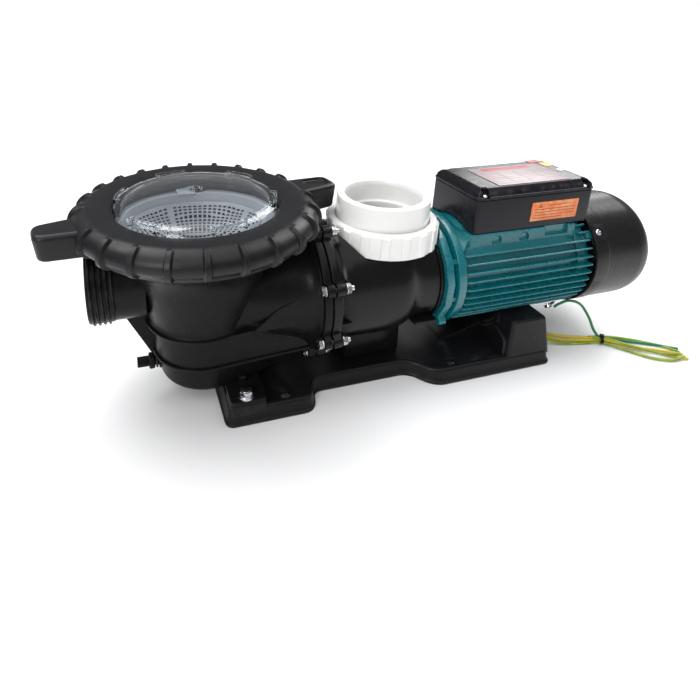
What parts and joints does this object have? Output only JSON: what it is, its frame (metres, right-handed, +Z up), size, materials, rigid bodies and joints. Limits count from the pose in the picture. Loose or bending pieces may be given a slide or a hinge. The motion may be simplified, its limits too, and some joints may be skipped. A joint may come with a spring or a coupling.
{
  "type": "swimming pool pump",
  "caption": "Self-priming pool pump: strainer pot with clear lid and threaded ring, volute with white union, finned motor, base.",
  "frame": {"origin": "on the underside of the base, straight under the axis of the discharge union", "axes": "+X from the suction port to the motor fan along the shaft, +Z up, +Y to the back of the pump (away from the side with the drain plug's lead and the front label); Y = 0 is the mid plane"},
  "size_m": [0.8048, 0.2714, 0.2552],
  "materials": {
    "black_plastic": "satin moulded glass-filled polypropylene, black",
    "box_plastic": "semi-gloss moulded ABS, near black",
    "clear_plastic": "clear polycarbonate",
    "basket_plastic": "translucent pale polypropylene",
    "white_plastic": "glossy white PVC",
    "teal_paint": "die-cast aluminium, teal powder coat, semi-gloss",
    "rubber": "black nitrile",
    "steel": "stainless, bright",
    "bare_steel": "turned steel",
    "copper": "enamelled copper wire, varnished",
    "impeller_plastic": "glass-filled PPE resin, dark grey",
    "ceramic": "lapped alumina",
    "lamination": "stacked electrical steel",
    "green_wire": "PVC insulation, green",
    "yellow_wire": "PVC insulation, yellow",
    "orange_film": "printed vinyl, plain orange",
    "pale_film": "plain pale plate",
    "shell_plastic": "off-white capacitor can"
  },
  "bodies": {
    "pump_body": {"base_plate": "black_plastic", "bearing_drive_end": "bare_steel", "bearing_fan_end": "bare_steel", "box_lid_screw_1": "steel", "box_lid_screw_2": "steel", "box_lid_screw_3": "steel", "box_lid_screw_4": "steel", "cable_gland": "black_plastic", "casing_gasket": "rubber", "diffuser": "impeller_plastic", "drive_end_shield": "teal_paint", "earth_lead_green": "green_wire", "earth_screw": "steel", "fan_cover": "black_plastic", "fan_cover_screw_back": "steel", "fan_cover_screw_front": "steel", "flange_bolt_1": "steel", "flange_bolt_2": "steel", "flange_bolt_3": "steel", "flange_bolt_4": "steel", "flange_bolt_5": "steel", "flange_bolt_6": "steel", "flange_bolt_7": "steel", "flange_bolt_8": "steel", "foot_bolt_back": "steel", "foot_bolt_front": "steel", "lead_yellow": "yellow_wire", "lid_oring": "rubber", "motor_frame": "teal_paint", "rating_plate": "pale_film", "rear_end_shield": "teal_paint", "run_capacitor": "shell_plastic", "saddle_bolt_back": "steel", "saddle_bolt_front": "steel", "seal_plate": "black_plastic", "seal_seat": "ceramic", "side_label": "orange_film", "stator_core": "lamination", "strainer_housing": "black_plastic", "terminal_block": "white_plastic", "terminal_box": "box_plastic", "terminal_box_gasket": "rubber", "terminal_box_lid": "box_plastic", "union_oring": "rubber", "volute_casing": "black_plastic", "winding_drive_end": "copper", "winding_fan_end": "copper"},
    "rotor": {"motor_shaft": "bare_steel", "rotor_core": "lamination", "impeller": "impeller_plastic", "impeller_screw": "steel", "seal_head": "rubber", "cooling_fan": "black_plastic"},
    "lid": {"clear_lid": "clear_plastic"},
    "ring": {"lid_ring": "black_plastic"},
    "basket": {"strainer_basket": "basket_plastic"},
    "union_tail": {"union_tailpiece": "white_plastic"},
    "union_nut": {"union_nut": "white_plastic"},
    "drain_seal": {"drain_plug_oring": "rubber"},
    "drain_plug": {"drain_plug": "black_plastic"}
  },
  "joints": [
    {"name": "shaft_spin", "type": "hinge", "parent": "pump_body", "child": "rotor", "pos_m": [0, 0, 0.1207], "axis": [1, 0, 0], "continuous": true},
    {"name": "lid_lift", "type": "slide", "parent": "pump_body", "child": "lid", "axis": [0, 0, 1], "range_m": [0, 0.42]},
    {"name": "ring_turn", "type": "hinge", "parent": "lid", "child": "ring", "pos_m": [-0.2273, 0, 0.225], "axis": [0, 0, 1], "range_deg": [0, 90]},
    {"name": "basket_lift", "type": "slide", "parent": "pump_body", "child": "basket", "axis": [0, 0, 1], "range_m": [0, 0.21]},
    {"name": "union_rise", "type": "slide", "parent": "pump_body", "child": "union_tail", "axis": [0, 0, 1], "range_m": [0, 0.0095]},
    {"name": "union_turn", "type": "hinge", "parent": "union_tail", "child": "union_nut", "pos_m": [0, 0, 0.184], "axis": [0, 0, 1], "range_deg": [0, 568]},
    {"name": "drain_out", "type": "slide", "parent": "pump_body", "child": "drain_seal", "axis": [-1, 0, 0], "range_m": [0, 0.01]},
    {"name": "drain_turn", "type": "hinge", "parent": "drain_seal", "child": "drain_plug", "pos_m": [-0.279, 0, 0.041], "axis": [-1, 0, 0], "range_deg": [0, 1440]}
  ],
  "couplings": [
    {"joint": "basket_lift", "follows": "lid_lift", "ratio": 0.5},
    {"joint": "union_rise", "follows": "union_turn", "m_per_rad": 0.00095493},
    {"joint": "drain_out", "follows": "drain_turn", "m_per_rad": 0.00039789}
  ]
}
